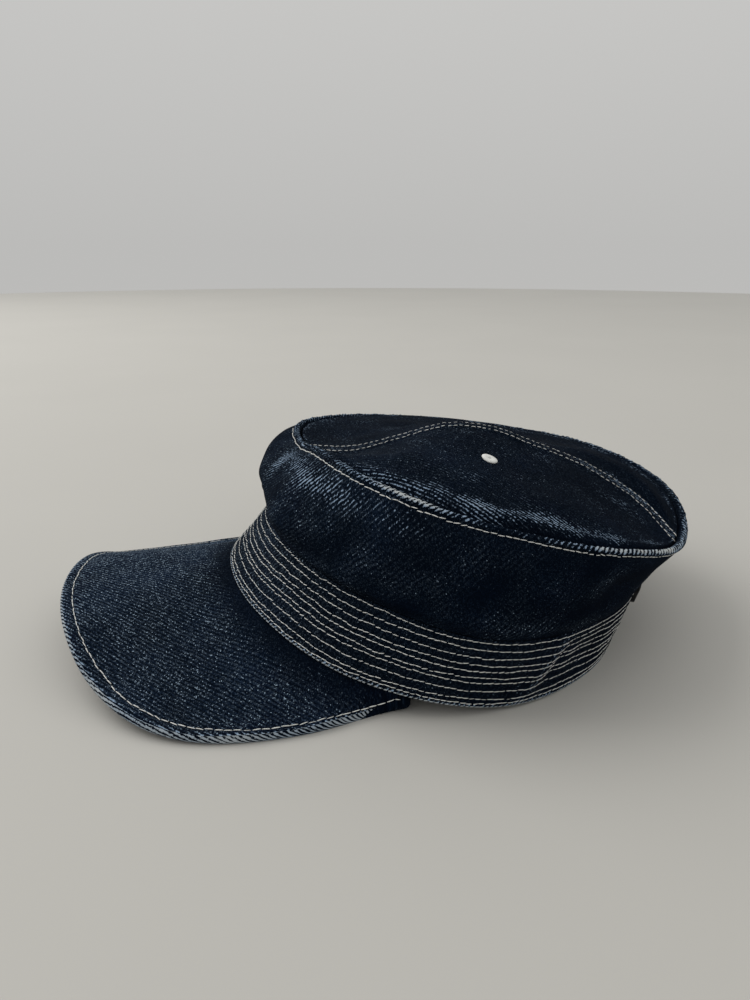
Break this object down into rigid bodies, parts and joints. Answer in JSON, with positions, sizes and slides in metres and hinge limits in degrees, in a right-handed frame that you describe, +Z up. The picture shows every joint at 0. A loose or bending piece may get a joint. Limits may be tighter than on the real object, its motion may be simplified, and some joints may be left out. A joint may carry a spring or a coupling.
{
  "type": "denim cap",
  "caption": "Soft denim work cap lying on its rim: stitched band, slouching side wall, two-piece top with eyelets, stiff arched peak and a back strap with a buckle.",
  "frame": {"origin": "the middle of the cap's box, on the surface it lies on", "axes": "+Z up, -Y to the front where the peak is, +X to the wearer's left"},
  "size_m": [0.1985, 0.2754, 0.0876],
  "materials": {
    "denim_band": "dark indigo twill under ten rows of off-white stitching",
    "denim_wall": "dark indigo twill, worn pale on folds and seams",
    "denim_top": "dark indigo twill, worn pale beside the edge seam",
    "denim_peak": "dark indigo twill over a stiff core, pale worn edge",
    "thread": "off-white cotton, in the stitches and worked close in the eyelets",
    "strap_leather": "black, satin",
    "buckle_metal": "plain grey metal"
  },
  "bodies": {
    "root": {"band": "denim_band", "crown_wall": "denim_wall", "top_left": "denim_top", "top_right": "denim_top", "peak": "denim_peak", "eyelet_left": "thread", "eyelet_right": "thread", "back_strap": "strap_leather", "strap_buckle": "buckle_metal"}
  },
  "joints": []
}
